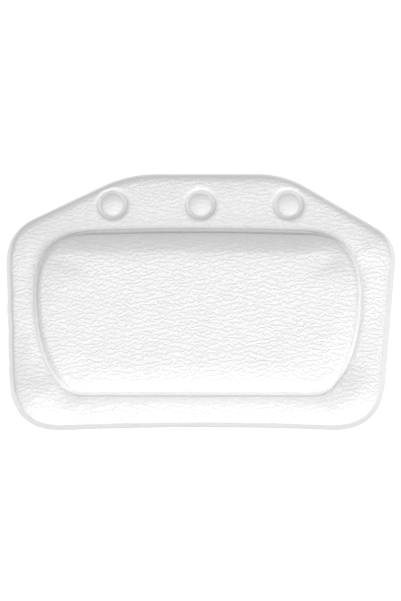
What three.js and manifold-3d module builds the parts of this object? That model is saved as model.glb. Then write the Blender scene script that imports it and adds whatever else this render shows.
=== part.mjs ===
// A padded bath pillow, in millimetres.
//
// Two vinyl sheets are welded together along the rim, along a seam round the head cushion and in
// three rings near the top edge. Foam lies between the sheets: a thick core in the cushion, a frame
// of padding in the flange, and a small pad in each ring. Inside each ring the mushroom head of a
// suction cup is trapped behind the back sheet, so the cup turns freely and can't pull out.
//
// X runs to the right and Z up, seen from the front. Y runs to the back, towards the bath's wall.
// The origin is the centre of the middle cup's suction face.

import * as THREE from 'three';
import { mergeVertices } from 'three/addons/utils/BufferGeometryUtils.js';
import Module from 'manifold-3d';

const wasm = await Module();
wasm.setup();

// Outline, with its corners measured where the edges would meet without rounding
const HEIGHT = 215;
const TOP_WIDTH = 130;
const SHOULDER_WIDTH = 324;
const BOTTOM_WIDTH = 302;
const SHOULDER_DROP = 53;
const TOP_ROUNDING = 22;
const SHOULDER_ROUNDING = 24;
const BOTTOM_ROUNDING = 43;
const BOTTOM_DRAW_IN = 3;
const RIM_WELD_WIDTH = 4;

// Flange: its widths from the outline to the middle of the seam round the head cushion, and its
// section, which stands up at the rim, slopes to a crest and falls to the seam
const FLANGE_TOP = 48;
const FLANGE_SIDE = 27.8;
const FLANGE_BOTTOM = 30.4;
const FLANGE_EDGE_RISE = 4.2;
const FLANGE_EDGE_ROUNDING = 2;
const FLANGE_CREST_RISE = 6.4;
const FLANGE_CREST_SHARE = 0.8;

// Seam round the head cushion, which is straight at the top and bottom and bowed at the sides. Its
// weld lies in front of the rim's, so both sheets are drawn to it
const SEAM_TOP_FLAT = 156;
const SEAM_BOTTOM_FLAT = 190;
const SEAM_WIDEST_DROP = 54.5;
const SEAM_UPPER_FULLNESS = 0.68;
const SEAM_LOWER_FULLNESS = 0.6;
const SEAM_WELD_WIDTH = 3.4;
const SEAM_LIFT = 4.4;

// Head cushion, crowned from side to side. Its shoulders rise from the seam in long slopes at the top
// and bottom and nearly upright at the sides
const CUSHION_RISE = 24;
const CUSHION_SIDE_RISE = 20;
const CROWN_POWER = 2.5;
const SHOULDER_AT_TOP = 26;
const SHOULDER_AT_BOTTOM = 20;
const SHOULDER_AT_SIDES = 4;
const SHOULDER_ROUNDNESS = 1.6;
const SIDE_ROUNDNESS = 2.4;
const DOME_ROUNDNESS = 2;

// Sheets
const FRONT_SHEET = 0.8;
const BACK_SHEET = 0.8;
const BACK_BULGE = 2.2;
const BACK_SLOPE_WIDTH = 6;

// Suction cups
const CUP_DROP = 27;
const CUP_SPACING = 73.2;
const CUP_RADIUS = 17.5;
const CUP_HOLLOW = 4.6;
const BELL_CROWN = 3.5;
const LIP_FLAT = 1.7;
const LIP_EDGE = 0.8;
const NECK_RADIUS = 4;
const COLLAR_OVERHANG = 2;
const COLLAR_HEIGHT = 1.6;
const HEAD_OVERHANG = 2.5;
const HEAD_THICKNESS = 2.6;
const HEAD_EDGE = 1.2;

// Ring-welded pockets that hold the cups' heads
const EYELET_MARGIN = 1.5;
const EYELET_THICKNESS = 1.2;
const POCKET_MARGIN = 2.2;
const DOME_PAD_THICKNESS = 2;
const RING_WELD_WIDTH = 1;
const RING_LIFT = 2.2;
const RING_SLOPE_WIDTH = 2.4;
const WELL_FLARE = 4.2;

// Clearances
const WELD_GAP = 0.1;
const CLEARANCE = 0.3;

// Share of the room inside a tight corner of a loop that an inset can take up
const CORNER_ROOM_SHARE = 0.9;

// Sizes and places that follow, with heights counted forwards from the back sheet's inner face at the rim
const topZ = CUP_DROP;
const bottomZ = topZ - HEIGHT;
const seamTopZ = topZ - FLANGE_TOP;
const seamBottomZ = bottomZ + FLANGE_BOTTOM;
const seamWidth = SHOULDER_WIDTH - 2 * FLANGE_SIDE;
const seamFloor = FRONT_SHEET + SEAM_LIFT;
const collarRadius = NECK_RADIUS + COLLAR_OVERHANG;
const headRadius = NECK_RADIUS + HEAD_OVERHANG;
const eyeletRadius = headRadius + EYELET_MARGIN;
const domeRadius = eyeletRadius + POCKET_MARGIN + FRONT_SHEET;
const wellRadius = domeRadius + RING_WELD_WIDTH;
const ringFloor = FRONT_SHEET + RING_LIFT;
const collarBack = -BACK_SHEET - CLEARANCE - COLLAR_HEIGHT;
const hollowFront = collarBack - BELL_CROWN;
const lipBack = hollowFront - CUP_HOLLOW;
const eyeletFront = WELD_GAP + EYELET_THICKNESS;
const headBack = eyeletFront + CLEARANCE;
const headFront = headBack + HEAD_THICKNESS;
const fillingInset = FRONT_SHEET + CLEARANCE;
const padBack = headFront + CLEARANCE;
const domeRise = padBack + DOME_PAD_THICKNESS + fillingInset;
const farBack = lipBack;
const cupPlaces = [
  ['left', -CUP_SPACING],
  ['middle', 0],
  ['right', CUP_SPACING],
];

// Sides and steps of the turned forms, and shares of the way over the cushion's shoulder that have rings
const CUP_SIDES = 24;
const POCKET_SIDES = 10;
const CUP_STEPS = 6;
const POCKET_STEPS = 2;
const SHOULDER_RINGS = [0, 0.1, 0.45, 1];

const coverVinyl = new THREE.MeshStandardMaterial({ color: 0xf2f2f0, roughness: 0.5, metalness: 0 });
const backVinyl = new THREE.MeshStandardMaterial({ color: 0xeeeeec, roughness: 0.4, metalness: 0 });
const foam = new THREE.MeshStandardMaterial({ color: 0xf4efdf, roughness: 1, metalness: 0 });
const clearVinyl = new THREE.MeshStandardMaterial({ color: 0xdfe6e8, roughness: 0.15, metalness: 0 });

// Geometry to solids that cut and join, and back

function solidOf(geometry) {
  const bare = geometry.clone();
  bare.deleteAttribute('normal');
  bare.deleteAttribute('uv');
  const merged = mergeVertices(bare);
  return new wasm.Manifold(
    new wasm.Mesh({
      numProp: 3,
      vertProperties: merged.attributes.position.array,
      triVerts: new Uint32Array(merged.index.array),
    }),
  );
}

function geometryOf(solid) {
  const { vertProperties, triVerts } = solid.getMesh();
  return new THREE.BufferGeometry()
    .setAttribute('position', new THREE.BufferAttribute(new Float32Array(vertProperties), 3))
    .setIndex(new THREE.BufferAttribute(new Uint32Array(triVerts), 1));
}

// Outlines: closed loops of 2-D points, clockwise from the middle of the top edge

function loopFromHalf(curves) {
  const right = curves.flatMap(([curve, steps]) => curve.getPoints(steps).slice(0, -1));
  const bottom = curves.at(-1)[0].getPoint(1);
  const left = right.slice(1).reverse().map((p) => new THREE.Vector2(-p.x, p.y));
  return [...right, bottom, ...left];
}

function cornerCurve(before, corner, after, rounding) {
  const start = corner.clone().add(before.clone().sub(corner).setLength(rounding));
  const end = corner.clone().add(after.clone().sub(corner).setLength(rounding));
  return new THREE.QuadraticBezierCurve(start, corner, end);
}

function rimOutline() {
  const top = new THREE.Vector2(0, topZ);
  const topCorner = new THREE.Vector2(TOP_WIDTH / 2, topZ);
  const shoulder = new THREE.Vector2(SHOULDER_WIDTH / 2, topZ - SHOULDER_DROP);
  const bottomCorner = new THREE.Vector2(BOTTOM_WIDTH / 2, bottomZ);
  const bottom = new THREE.Vector2(0, bottomZ);
  const upper = cornerCurve(top, topCorner, shoulder, TOP_ROUNDING);
  const middle = cornerCurve(topCorner, shoulder, bottomCorner, SHOULDER_ROUNDING);
  const lower = cornerCurve(shoulder, bottomCorner, bottom, BOTTOM_ROUNDING);
  const drawnIn = new THREE.Vector2(0, bottomZ + BOTTOM_DRAW_IN);
  const halfway = lower.v2.x / 2;
  const easeOut = new THREE.Vector2(halfway, bottomZ);
  const easeIn = new THREE.Vector2(halfway, drawnIn.y);
  return loopFromHalf([
    [new THREE.LineCurve(top, upper.v0), 1],
    [upper, 2],
    [new THREE.LineCurve(upper.v2, middle.v0), 1],
    [middle, 2],
    [new THREE.LineCurve(middle.v2, lower.v0), 2],
    [lower, 4],
    [new THREE.CubicBezierCurve(lower.v2, easeOut, easeIn, drawnIn), 2],
  ]);
}

function seamOutline() {
  const top = new THREE.Vector2(0, seamTopZ);
  const topEnd = new THREE.Vector2(SEAM_TOP_FLAT / 2, seamTopZ);
  const widest = new THREE.Vector2(seamWidth / 2, seamTopZ - SEAM_WIDEST_DROP);
  const bottomEnd = new THREE.Vector2(SEAM_BOTTOM_FLAT / 2, seamBottomZ);
  const bottom = new THREE.Vector2(0, seamBottomZ);
  const bowed = (level, fullness) =>
    new THREE.CubicBezierCurve(
      level,
      new THREE.Vector2(THREE.MathUtils.lerp(level.x, widest.x, fullness), level.y),
      new THREE.Vector2(widest.x, THREE.MathUtils.lerp(widest.y, level.y, fullness)),
      widest,
    );
  const lower = bowed(bottomEnd, SEAM_LOWER_FULLNESS);
  return loopFromHalf([
    [new THREE.LineCurve(top, topEnd), 2],
    [bowed(topEnd, SEAM_UPPER_FULLNESS), 5],
    [new THREE.CubicBezierCurve(lower.v3, lower.v2, lower.v1, lower.v0), 5],
    [new THREE.LineCurve(bottomEnd, bottom), 2],
  ]);
}

function normalsOf(loop) {
  return loop.map((_, i) => {
    const along = loop[(i + 1) % loop.length].clone().sub(loop.at(i - 1)).normalize();
    return new THREE.Vector2(-along.y, along.x);
  });
}

// How far each point of a loop can move inwards before it crosses a neighbour's way in a tight corner
function roomInside(loop) {
  const normals = normalsOf(loop);
  const besideNext = loop.map((p, i) => {
    const next = (i + 1) % loop.length;
    return p.distanceTo(loop[next]) / normals[i].distanceTo(normals[next]);
  });
  return besideNext.map((room, i) => CORNER_ROOM_SHARE * Math.min(room, besideNext.at(i - 1)));
}

function offsetLoop(loop, outwards) {
  const normals = normalsOf(loop);
  const room = roomInside(loop);
  return loop.map((p, i) => p.clone().addScaledVector(normals[i], Math.max(outwards, -room[i])));
}

// Rings: loops of 3-D points, from 2-D points and heights

function yAt(height) {
  return lipBack - height;
}

function pointAt(flat, height) {
  return new THREE.Vector3(flat.x, yAt(height), flat.y);
}

function ringAt(loop, height) {
  return loop.map((p) => pointAt(p, height));
}

function loweredRing(ring, height) {
  return ring.map((p) => new THREE.Vector3(p.x, yAt(height), p.z));
}

// Lofts through rings

function loftGeometry(rings, indices) {
  return new THREE.BufferGeometry().setFromPoints(rings.flat()).setIndex(indices);
}

function bandIndices(from, to, count) {
  const indices = [];
  for (let i = 0; i < count; i++) {
    const next = (i + 1) % count;
    indices.push(from + i, to + next, from + next, from + i, to + i, to + next);
  }
  return indices;
}

function flatCap(ring) {
  const loop = ring.map((p) => new THREE.Vector2(p.x, p.z));
  return THREE.ShapeUtils.triangulateShape(loop, []).flat();
}

// A cap whose triangles run up and down, so it keeps the curve of a ring that is crowned sideways
function crownedCap(ring) {
  const count = ring.length;
  const byWidth = ring.map((_, i) => i).sort((a, b) => ring[a].x - ring[b].x);
  const end = byWidth.at(-1);
  const indices = [];
  let upper = byWidth[0];
  let lower = byWidth[0];
  while (upper !== end || lower !== end) {
    const nextUpper = (upper + 1) % count;
    const nextLower = (lower - 1 + count) % count;
    const upperIsNext = ring[nextUpper].x <= ring[nextLower].x;
    const takeUpper = lower === end || (upper !== end && upperIsNext);
    const taken = takeUpper ? nextUpper : nextLower;
    if (upper !== lower && taken !== upper && taken !== lower) indices.push(upper, lower, taken);
    if (takeUpper) upper = nextUpper;
    else lower = nextLower;
  }
  return indices;
}

// A solid with a flat back, through rings that run forwards
function loftedBlock(rings, frontCap = flatCap) {
  const count = rings[0].length;
  const last = (rings.length - 1) * count;
  const indices = flatCap(rings[0]).reverse();
  for (let k = 0; k < last; k += count) indices.push(...bandIndices(k, k + count, count));
  indices.push(...frontCap(rings.at(-1)).map((i) => i + last));
  return solidOf(loftGeometry(rings, indices));
}

// A frame-shaped solid, through rings that run from its outer edge over its crest to its inner edge
function loftedFrame(rings) {
  const count = rings[0].length;
  const indices = rings.flatMap((_, k) => {
    return bandIndices(k * count, ((k + 1) % rings.length) * count, count);
  });
  return solidOf(loftGeometry(rings, indices));
}

// Padded forms: the front sheet's outer face, drawn in by an inset to get its inner face or the filling

const rim = rimOutline();
const seam = seamOutline();
const rimClear = offsetLoop(rim, CLEARANCE);

function roundedShare(share, roundness) {
  return (1 - (1 - share) ** roundness) ** (1 / roundness);
}

// The flange's section across a width, as distances from its outer edge and heights over the rim's weld
function flangeSection(width) {
  return [
    [0, 0],
    [FLANGE_EDGE_ROUNDING, FLANGE_EDGE_RISE],
    [FLANGE_CREST_SHARE * width, FLANGE_CREST_RISE],
    [width, SEAM_LIFT],
  ];
}

function flangeRings(inset) {
  const outer = offsetLoop(rim, -RIM_WELD_WIDTH);
  const inner = offsetLoop(seam, SEAM_WELD_WIDTH / 2);
  const across = outer.map((p, i) => {
    const width = p.distanceTo(inner[i]);
    return flangeSection(width).map(([distance, height]) => {
      const share = THREE.MathUtils.lerp(inset, width - inset, distance / width) / width;
      return pointAt(p.clone().lerp(inner[i], share), FRONT_SHEET + height - inset);
    });
  });
  return across[0].map((_, k) => across.map((section) => section[k]));
}

function flangeForm(inset) {
  const rings = flangeRings(inset);
  return loftedFrame([
    loweredRing(rings[0], farBack),
    ...rings,
    loweredRing(rings.at(-1), farBack),
  ]);
}

function cushionRings(inset) {
  const normals = normalsOf(seam);
  const room = roomInside(seam);
  return SHOULDER_RINGS.map((share) => {
    return seam.map((p, i) => {
      const upwards = normals[i].y;
      const full = upwards > 0 ? SHOULDER_AT_TOP : SHOULDER_AT_BOTTOM;
      const shoulder = THREE.MathUtils.lerp(SHOULDER_AT_SIDES, full, upwards ** 2);
      const roundness = THREE.MathUtils.lerp(SIDE_ROUNDNESS, SHOULDER_ROUNDNESS, upwards ** 2);
      const inwards = SEAM_WELD_WIDTH / 2 + THREE.MathUtils.lerp(inset, shoulder, share);
      const flat = p.clone().addScaledVector(normals[i], -Math.min(inwards, room[i]));
      const toSide = (Math.abs(flat.x) / (seamWidth / 2)) ** CROWN_POWER;
      const rise = THREE.MathUtils.lerp(CUSHION_RISE, CUSHION_SIDE_RISE, toSide);
      const risen = roundedShare(share, roundness);
      return pointAt(flat, THREE.MathUtils.lerp(seamFloor, rise, risen) - inset);
    });
  });
}

function cushionForm(inset) {
  const rings = cushionRings(inset);
  return loftedBlock([loweredRing(rings[0], farBack), ...rings], crownedCap);
}

// The space behind the back sheet's inner face, or behind a face some way in front of that one
function behindBack(outline, back, forwards) {
  const besideSeam = SEAM_WELD_WIDTH / 2;
  const besideSlope = besideSeam + BACK_SLOPE_WIDTH;
  const space = loftedBlock([
    ringAt(outline, back),
    ringAt(outline, forwards),
    ringAt(offsetLoop(seam, besideSlope), forwards),
    ringAt(offsetLoop(seam, besideSeam), forwards + SEAM_LIFT),
    ringAt(offsetLoop(seam, -besideSeam), forwards + SEAM_LIFT),
    ringAt(offsetLoop(seam, -besideSlope), forwards),
    ringAt(offsetLoop(seam, -besideSlope - BACK_SLOPE_WIDTH), forwards - BACK_BULGE),
  ]);
  return cupPlaces.reduce((joined, [, x]) => joined.add(ringLift(forwards, x)), space);
}

// The round ridge of the back sheet that meets a ring weld
function ringLift(forwards, x) {
  const foot = forwards - CLEARANCE;
  const crest = forwards + RING_LIFT;
  const ridge = [
    [domeRadius, crest],
    [wellRadius, crest],
    [wellRadius + RING_SLOPE_WIDTH, foot],
    [domeRadius - RING_SLOPE_WIDTH, foot],
    [domeRadius, crest],
  ];
  return turned(ridge, x, POCKET_SIDES);
}

// Turned forms, from profiles of [radius, height] round a cup's axis that run from front to back

function turned(profile, x, sides) {
  const points = profile.map(([radius, height]) => new THREE.Vector2(radius, yAt(height)));
  return solidOf(new THREE.LatheGeometry(points, sides).translate(x, 0, 0));
}

function quarterSteps() {
  return Array.from({ length: POCKET_STEPS + 1 }, (_, k) => ((k / POCKET_STEPS) * Math.PI) / 2);
}

function domeForm(inset, x) {
  const radius = domeRadius - inset;
  const cap = quarterSteps().map((turn) => {
    const share = Math.sin(turn);
    const height = THREE.MathUtils.lerp(ringFloor, domeRise, roundedShare(1 - share, DOME_ROUNDNESS));
    return [radius * share, height - inset];
  });
  return turned([...cap, [radius, farBack], [0, farBack]], x, POCKET_SIDES);
}

// The well that a ring weld draws into the flange
function wellForm(inset, base, x) {
  const front = FRONT_SHEET + FLANGE_CREST_RISE + CLEARANCE;
  const flare = quarterSteps().toReversed().map((turn) => [
    wellRadius + inset + WELL_FLARE * (1 - Math.cos(turn)),
    THREE.MathUtils.lerp(ringFloor, front, Math.sin(turn)),
  ]);
  return turned([[0, front], ...flare, [wellRadius + inset, base], [0, base]], x, POCKET_SIDES);
}

function flangeWithWells(inset) {
  return cupPlaces.reduce((flange, [, x]) => {
    return flange.subtract(wellForm(inset, farBack - CLEARANCE, x));
  }, flangeForm(inset));
}

// The pieces

function frontCover() {
  const edge = [ringAt(rim, farBack), ringAt(rim, FRONT_SHEET)];
  let outside = loftedBlock([...edge, ...flangeRings(0), ...cushionRings(0)], crownedCap);
  let inside = flangeWithWells(FRONT_SHEET).add(cushionForm(FRONT_SHEET));
  for (const [, x] of cupPlaces) {
    outside = outside.subtract(wellForm(0, ringFloor, x)).add(domeForm(0, x));
    inside = inside.add(domeForm(FRONT_SHEET, x));
  }
  return outside.subtract(inside).subtract(behindBack(rimClear, 2 * farBack, WELD_GAP));
}

function neckHole(x) {
  const radius = NECK_RADIUS + CLEARANCE;
  const front = eyeletFront + CLEARANCE;
  const back = -BACK_SHEET - CLEARANCE;
  return turned([[0, front], [radius, front], [radius, back], [0, back]], x, CUP_SIDES);
}

function backCover() {
  const sheet = behindBack(rim, farBack, 0).subtract(behindBack(rimClear, 2 * farBack, -BACK_SHEET));
  return cupPlaces.reduce((cut, [, x]) => cut.subtract(neckHole(x)), sheet);
}

function cushionCore() {
  return cushionForm(fillingInset).subtract(behindBack(rimClear, 2 * farBack, CLEARANCE));
}

function flangePad() {
  return flangeWithWells(fillingInset).subtract(behindBack(rimClear, 2 * farBack, CLEARANCE));
}

function domePad(x) {
  return domeForm(fillingInset, x).trimByPlane([0, -1, 0], -yAt(padBack));
}

function eyeletRing(x) {
  const washer = [
    [0, eyeletFront],
    [eyeletRadius, eyeletFront],
    [eyeletRadius, WELD_GAP],
    [0, WELD_GAP],
  ];
  return turned(washer, x, CUP_SIDES).subtract(neckHole(x));
}

function suctionCup(x) {
  const collarFront = collarBack + COLLAR_HEIGHT;
  const head = new THREE.QuadraticBezierCurve(
    new THREE.Vector2(0, headFront),
    new THREE.Vector2(headRadius, headFront),
    new THREE.Vector2(headRadius, headBack + HEAD_EDGE),
  );
  // The bell's outer curve turns lower and wider than the hollow's, so the wall thins to the lip
  const bell = new THREE.QuadraticBezierCurve(
    new THREE.Vector2(collarRadius, collarBack),
    new THREE.Vector2((collarRadius + CUP_RADIUS) / 2 - LIP_FLAT, hollowFront - LIP_EDGE),
    new THREE.Vector2(CUP_RADIUS, lipBack + LIP_EDGE),
  );
  const hollow = new THREE.QuadraticBezierCurve(
    new THREE.Vector2(CUP_RADIUS - LIP_FLAT, lipBack),
    new THREE.Vector2(CUP_RADIUS / 2, hollowFront),
    new THREE.Vector2(0, hollowFront),
  );
  const along = (curve) => curve.getPoints(CUP_STEPS).map((p) => [p.x, p.y]);
  const profile = [
    ...along(head),
    [headRadius, headBack],
    [NECK_RADIUS, headBack],
    [NECK_RADIUS, collarFront],
    [collarRadius, collarFront],
    ...along(bell),
    [CUP_RADIUS, lipBack],
    ...along(hollow),
  ];
  return turned(profile, x, CUP_SIDES);
}

// The assembly

const pillow = new THREE.Group();

function addPiece(name, solid, material) {
  const mesh = new THREE.Mesh(geometryOf(solid), material);
  mesh.name = name;
  pillow.add(mesh);
}

addPiece('front_cover', frontCover(), coverVinyl);
addPiece('back_cover', backCover(), backVinyl);
addPiece('cushion_core', cushionCore(), foam);
addPiece('flange_pad', flangePad(), foam);
for (const [side, x] of cupPlaces) {
  addPiece(`dome_pad_${side}`, domePad(x), foam);
  addPiece(`eyelet_ring_${side}`, eyeletRing(x), backVinyl);
  addPiece(`suction_cup_${side}`, suctionCup(x), clearVinyl);
}

export default pillow;
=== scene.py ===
# %% [markdown]
# # A padded bath pillow
# Two white vinyl sheets are welded together round foam. The welds are flat bands: one along the rim,
# one round the thick head cushion, and three rings that trap the heads of the suction cups. What the
# eye reads is the soft swelling between those bands, so most of this lesson is about one sheet.
# Named sizes are millimetres, which MM turns into the scene's metres, and named angles are degrees.

# %% Load the frame
import math
from types import SimpleNamespace

import bpy
import numpy as np
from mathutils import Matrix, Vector, noise
from mathutils.bvhtree import BVHTree
from mathutils.geometry import barycentric_transform, delaunay_2d_cdt
from mathutils.kdtree import KDTree


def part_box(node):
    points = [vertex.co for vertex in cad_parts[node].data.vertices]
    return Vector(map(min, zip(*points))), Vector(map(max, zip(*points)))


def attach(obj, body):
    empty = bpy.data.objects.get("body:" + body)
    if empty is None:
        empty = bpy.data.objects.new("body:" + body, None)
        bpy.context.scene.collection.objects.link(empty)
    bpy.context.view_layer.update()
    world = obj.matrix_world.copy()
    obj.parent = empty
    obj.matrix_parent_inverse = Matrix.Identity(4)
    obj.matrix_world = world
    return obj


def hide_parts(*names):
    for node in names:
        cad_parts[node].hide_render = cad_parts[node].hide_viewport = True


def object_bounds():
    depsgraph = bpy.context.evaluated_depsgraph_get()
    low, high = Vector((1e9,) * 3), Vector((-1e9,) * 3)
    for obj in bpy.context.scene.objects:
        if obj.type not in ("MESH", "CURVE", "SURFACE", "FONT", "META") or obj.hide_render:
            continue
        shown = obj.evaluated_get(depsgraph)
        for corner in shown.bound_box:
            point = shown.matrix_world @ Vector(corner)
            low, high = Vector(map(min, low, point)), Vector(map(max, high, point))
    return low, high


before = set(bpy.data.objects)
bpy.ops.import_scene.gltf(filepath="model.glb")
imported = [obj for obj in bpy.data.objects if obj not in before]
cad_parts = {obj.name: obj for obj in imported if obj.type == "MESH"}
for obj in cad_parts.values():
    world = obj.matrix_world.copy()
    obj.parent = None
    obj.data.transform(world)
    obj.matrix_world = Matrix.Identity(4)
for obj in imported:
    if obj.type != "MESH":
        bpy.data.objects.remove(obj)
cad_low, cad_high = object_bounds()
MM = 0.001

# %% [markdown]
# ## Camera
# The pillow hangs upright and is seen square on, from a little below. A long lens keeps its edges
# nearly parallel. Its field is worked out from the height that the picture covers at the sheets'
# plane, so a millimetre on the pillow is the same share of the picture as on the real one.

# %% Camera
PICTURE_HEIGHT = 497.0
CAMERA_DISTANCE = 1500.0
CAMERA_ELEVATION = -9.5
SIGHT_DROP = 79.9
WELD_GAP = 0.1
WELD_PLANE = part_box("front_cover")[1].y / MM + WELD_GAP

camera_data = bpy.data.cameras.new("front_camera")
camera = bpy.data.objects.new("front_camera", camera_data)
bpy.context.scene.collection.objects.link(camera)
elevation = math.radians(CAMERA_ELEVATION)
towards_camera = Vector((0, -math.cos(elevation), math.sin(elevation)))
sight_point = Vector((0, WELD_PLANE, -SIGHT_DROP)) * MM
camera.location = sight_point + towards_camera * CAMERA_DISTANCE * MM
camera.rotation_mode = "QUATERNION"
camera.rotation_quaternion = (-towards_camera).to_track_quat("-Z", "Y")
camera_data.lens = camera_data.sensor_width * CAMERA_DISTANCE / PICTURE_HEIGHT
bpy.context.scene.camera = camera
print("camera: lens", round(camera_data.lens, 1), "mm")

# %% [markdown]
# ## Outline
# The sheets are cut by a steel rule, so their outline is a path of straight stretches and rounded
# corners. It could be drawn as a curve object; here each corner is three numbers, its place and how
# far its rounding reaches, because later steps need distances to this path. The real pillow isn't
# quite even: its left side is a little fuller than its right.

# %% Outline of the sheets
RIM_CORNERS = [
    (69.5, 27.0, 22.0),
    (163.4, -29.3, 20.0),
    (147.2, -189.0, 42.0),
    (4.0, -183.4, 95.0),
    (-155.0, -189.0, 44.0),
    (-162.0, -22.5, 28.0),
    (-60.0, 27.0, 24.0),
]
PATH_STEP = 0.5
CORNER_STEPS = 59


def unit(vector):
    return vector / np.linalg.norm(vector)


def bent(first, handle, last, steps):
    """A curve from the first point to the last one, drawn towards its handle."""
    share = np.linspace(0, 1, steps + 1)[:, None]
    first, handle, last = (np.array(point, float) for point in (first, handle, last))
    return (1 - share) ** 2 * first + 2 * share * (1 - share) * handle + share**2 * last


def rounding(before, tip, after, reach, steps):
    """The curve that replaces a corner, as far as it reaches from the tip to either side."""
    before, tip, after = (np.array(point, float) for point in (before, tip, after))
    start, end = (tip + reach * unit(other - tip) for other in (before, after))
    return bent(start, tip, end, steps)


def evenly_spaced(path, step):
    closed = np.vstack([path, path[:1]])
    along = np.concatenate([[0], np.cumsum(np.linalg.norm(np.diff(closed, axis=0), axis=1))])
    places = np.linspace(0, along[-1], round(along[-1] / step), endpoint=False)
    return np.stack([np.interp(places, along, closed[:, k]) for k in (0, 1)], axis=1)


def rounded_path(corners):
    around = zip(corners[-1:] + corners, corners, corners[1:] + corners[:1])
    stretches = [
        rounding(before[:2], corner[:2], after[:2], corner[2], CORNER_STEPS)
        for before, corner, after in around]
    return evenly_spaced(np.vstack(stretches), PATH_STEP)


rim = rounded_path(RIM_CORNERS)
print("rim:", len(rim), "points,", round(len(rim) * PATH_STEP), "mm round")

# %% [markdown]
# ## Seam
# The weld round the head cushion has a nearly level top, a level bottom and full sides that are
# widest above their middle. It could be traced point by point; here one half is two curves that meet
# upright at the widest place. The real seam looks even, so the other half is its mirror image.

# %% Seam round the head cushion
SEAM_MIDDLE = -2.0
SEAM_TOP, SEAM_BOTTOM = -22.9, -158.2
SEAM_TOP_HALF, SEAM_BOTTOM_HALF = 78.0, 95.0
SEAM_WIDEST_HALF, SEAM_WIDEST_AT = 133.6, -75.1
UPPER_FULLNESS, LOWER_FULLNESS = 0.68, 0.55
SEAM_BOW = 1.3
SEAM_POINTS = 80


def bowed(level, widest, fullness):
    """A curve that leaves a level stretch and turns into an upright one."""
    share = np.linspace(0, 1, SEAM_POINTS)[:, None]
    first = level + fullness * np.array((widest[0] - level[0], 0))
    second = widest + fullness * np.array((0, level[1] - widest[1]))
    ends = (1 - share) ** 3 * level + share**3 * widest
    return ends + 3 * share * (1 - share) * ((1 - share) * first + share * second)


widest = np.array((SEAM_WIDEST_HALF, SEAM_WIDEST_AT))
upper = bowed(np.array((SEAM_TOP_HALF, SEAM_TOP)), widest, UPPER_FULLNESS)
lower = bowed(np.array((SEAM_BOTTOM_HALF, SEAM_BOTTOM)), widest, LOWER_FULLNESS)
right_half = np.vstack([upper, lower[::-1]])
left_half = right_half[::-1] * (-1, 1)
seam = evenly_spaced(np.vstack([right_half, left_half]) + (SEAM_MIDDLE, 0), PATH_STEP)
above = seam[:, 1] > SEAM_WIDEST_AT
across = (seam[:, 0] - SEAM_MIDDLE) / SEAM_TOP_HALF
seam[:, 1] += SEAM_BOW * np.clip(1 - across**2, 0, 1) * above
print("seam:", len(seam), "points,", round(len(seam) * PATH_STEP), "mm round")

# %% Distances to the paths and the domes
SIDES = ("left", "middle", "right")
CUP_BOXES = [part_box(f"suction_cup_{side}") for side in SIDES]
CUP_CENTRES = [np.array(((low.x + high.x) / 2, (low.z + high.z) / 2)) / MM for low, high in CUP_BOXES]


def outward(path):
    along = np.roll(path, -1, axis=0) - np.roll(path, 1, axis=0)
    along /= np.linalg.norm(along, axis=1, keepdims=True)
    return np.stack([-along[:, 1], along[:, 0]], axis=1)


def distance_outside(path, points):
    """How far outside a path each point lies, less than 0 inside, and its nearest place on it."""
    tree = KDTree(len(path))
    for i, (x, z) in enumerate(path):
        tree.insert((x, z, 0), i)
    tree.balance()
    nearest = np.array([tree.find((x, z, 0))[1] for x, z in points])
    return ((points - path[nearest]) * outward(path)[nearest]).sum(1), nearest


def distance_to_domes(points):
    return np.min([np.linalg.norm(points - centre, axis=1) for centre in CUP_CENTRES], axis=0)


print("domes at x =", [round(float(centre[0]), 1) for centre in CUP_CENTRES])

# %% [markdown]
# ## Weld bands
# A welding tool presses the hot sheets together in bands a few millimetres wide. Along the top edge
# the padding leans over the band, so less of it shows there. On the left the trimmed edge wanders.
# The bands could be strips of their own, but the real sheet runs through them, so they are widths
# beside the paths.

# %% Weld bands
RIM_BAND, RIM_BAND_AT_TOP = 4.0, 2.4
FACES_UP = (0.2, 0.7)
SEAM_BAND = 3.4
DOME_RADIUS, RING_BAND = 9.6, 2.8
WANDER_LENGTH, WANDER_HEIGHT = 14.0, 0.9
WANDER_LEFT, WANDER_DOWN = (120, 150), (50, 90)
WANDER_NOISE = (0.3, 0.7)


def smooth_step(low, high, value):
    share = np.clip((value - low) / (high - low), 0, 1)
    return share * share * (3 - 2 * share)


def blend(start, end, share):
    return start + (end - start) * share


leftness = smooth_step(*WANDER_LEFT, -rim[:, 0]) * smooth_step(*WANDER_DOWN, -rim[:, 1])
wander = [noise.noise((i * PATH_STEP / WANDER_LENGTH, *WANDER_NOISE)) for i in range(len(rim))]
rim = rim + outward(rim) * (WANDER_HEIGHT * leftness * wander)[:, None]
rim_band = blend(RIM_BAND, RIM_BAND_AT_TOP, smooth_step(*FACES_UP, outward(rim)[:, 1]))
well_radius = DOME_RADIUS + RING_BAND
print("rim band:", round(rim_band.min(), 2), "to", round(rim_band.max(), 2), "mm wide")

# %% [markdown]
# ## The flat cut
# A height is easiest to give to a flat mesh whose edges already run along the welds. A grid would
# cross the welds at an angle and show steps there. So rows of points are laid beside each weld, the
# rest is filled with an even pattern of points, and a triangulation that keeps the rows joins them.

# %% Points and triangles
INSIDE_ONLY, SAME_POINT = 1, 1e-5


def even_pattern(spacing):
    low, high = rim.min(0), rim.max(0)
    across = np.arange(low[0], high[0], spacing)
    down = np.arange(low[1], high[1], spacing * math.sqrt(3) / 2)
    grid = np.stack(np.meshgrid(across, down), axis=-1)
    grid[1::2, :, 0] += spacing / 2
    return grid.reshape(-1, 2)


def circle(radius, sides):
    turns = np.arange(sides) * 2 * math.pi / sides
    return radius * np.stack([np.cos(turns), np.sin(turns)], axis=1)


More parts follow.
